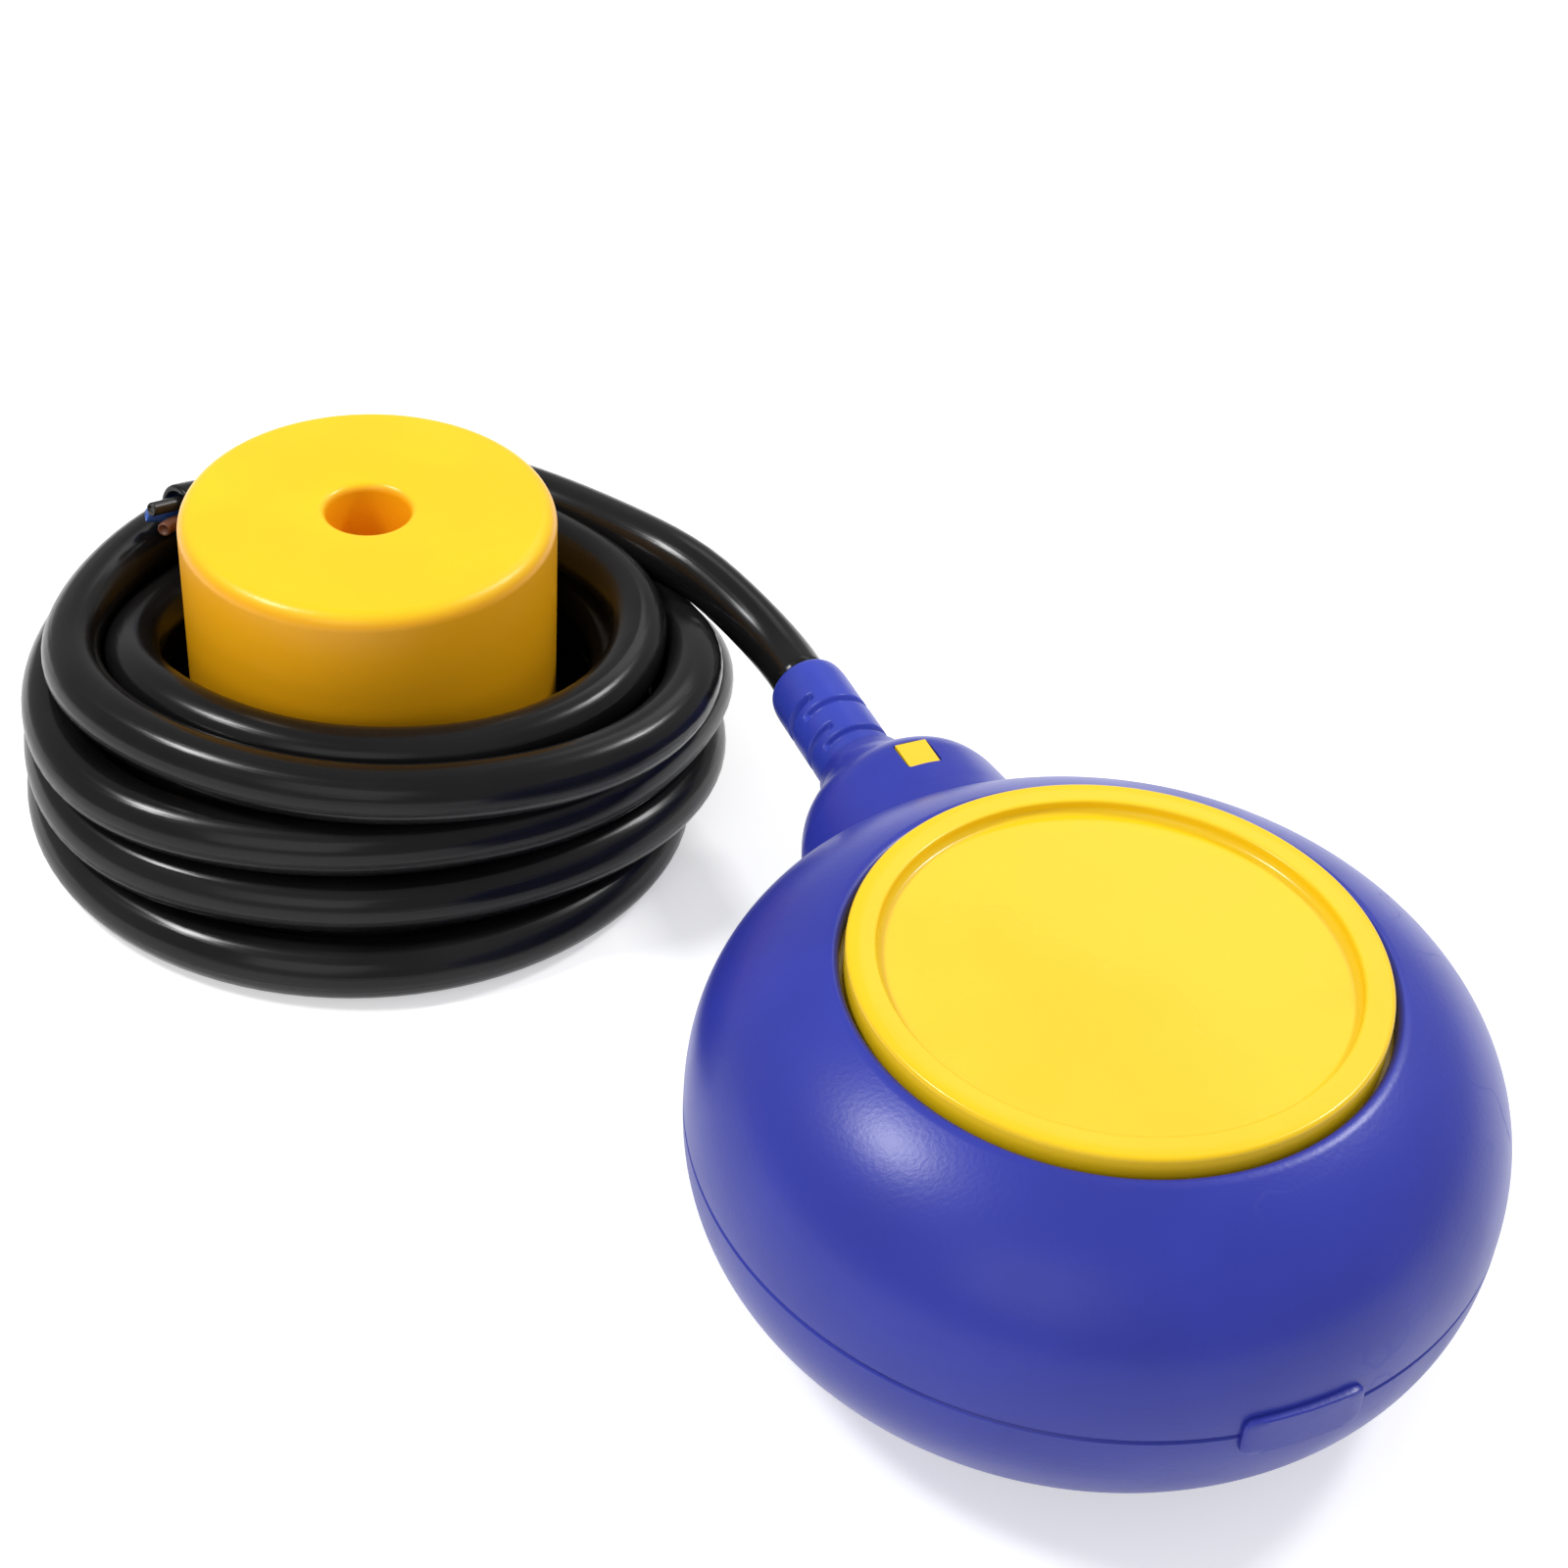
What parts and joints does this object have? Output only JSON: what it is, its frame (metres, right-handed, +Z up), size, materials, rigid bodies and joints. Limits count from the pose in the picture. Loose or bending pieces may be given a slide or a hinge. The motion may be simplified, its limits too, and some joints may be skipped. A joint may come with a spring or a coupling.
{
  "type": "cable float switch",
  "caption": "Ring float round a sealed tilt-switch capsule, with a slotted boot on its neck, a coiled cable with bared cores and a loose cylindrical counterweight with a through hole.",
  "frame": {"origin": "bottom centre of the box round the float, its boot and the counterweight, without the cable", "axes": "+Z up through the float's flat faces, +Y along the neck from the float towards the cable, +X to the right of the neck"},
  "size_m": [0.1649, 0.2346, 0.0535],
  "materials": {
    "blue_plastic": "satin moulded polypropylene",
    "yellow_plastic": "smooth moulded",
    "weight_plastic": "smooth moulded shell over a heavy filling",
    "cable_jacket": "glossy extruded sheath",
    "seal_rubber": "dull moulded rubber",
    "white_plastic": "plain moulded",
    "switch_case": "plain moulded",
    "plunger_plastic": "plain moulded",
    "steel": "bright",
    "brass": "bright stamped",
    "core_brown": "extruded insulation",
    "core_blue": "extruded insulation",
    "core_black": "extruded insulation"
  },
  "bodies": {
    "shell": {"cable_coil": "cable_jacket", "cable_inner": "cable_jacket", "cable_lead": "cable_jacket", "cable_seal": "seal_rubber", "cable_tail": "cable_jacket", "capsule_seal": "seal_rubber", "carrier_screw_1": "steel", "carrier_screw_2": "steel", "carrier_screw_3": "steel", "clamp_screw_1": "steel", "clamp_screw_2": "steel", "cord_clamp": "white_plastic", "core_common": "core_black", "core_nc": "core_brown", "core_no": "core_blue", "counterweight": "weight_plastic", "cover_screw_1": "steel", "cover_screw_2": "steel", "float_body": "blue_plastic", "gland_nut": "white_plastic", "lever_pin": "steel", "lower_capsule": "yellow_plastic", "microswitch_case": "switch_case", "microswitch_lid": "switch_case", "neck_bush": "yellow_plastic", "receptacle_common": "brass", "receptacle_nc": "brass", "receptacle_no": "brass", "strain_relief_boot": "blue_plastic", "switch_carrier": "white_plastic", "switch_screw_1": "steel", "switch_screw_2": "steel", "tail_core_black": "core_black", "tail_core_blue": "core_blue", "tail_core_brown": "core_brown", "terminal_common": "brass", "terminal_nc": "brass", "terminal_no": "brass", "track_cover": "white_plastic", "upper_capsule": "yellow_plastic"},
    "ball": {"steel_ball": "steel"},
    "lever": {"trip_lever": "white_plastic"},
    "plunger": {"switch_plunger": "plunger_plastic"},
    "blade": {"contact_blade": "brass"}
  },
  "joints": [
    {"name": "ball_roll", "type": "slide", "parent": "shell", "child": "ball", "axis": [0, 1, 0], "range_m": [0, 0.016]},
    {"name": "lever_swing", "type": "hinge", "parent": "shell", "child": "lever", "pos_m": [0.013, -0.0778, 0.02675], "axis": [0, 0, 1], "range_deg": [-3, 0]},
    {"name": "plunger_press", "type": "slide", "parent": "shell", "child": "plunger", "axis": [1, 0, 0], "range_m": [0, 0.0007]},
    {"name": "blade_flex", "type": "hinge", "parent": "shell", "child": "blade", "pos_m": [0.02006, -0.0488, 0.02675], "axis": [0, 0, 1], "range_deg": [0, 2.5], "stiffness_Nm_per_rad": 0.02}
  ],
  "couplings": [
    {"joint": "lever_swing", "follows": "ball_roll", "rad_per_m": -3.2507},
    {"joint": "plunger_press", "follows": "ball_roll", "ratio": 0.042297},
    {"joint": "blade_flex", "follows": "ball_roll", "rad_per_m": 2.6436}
  ]
}
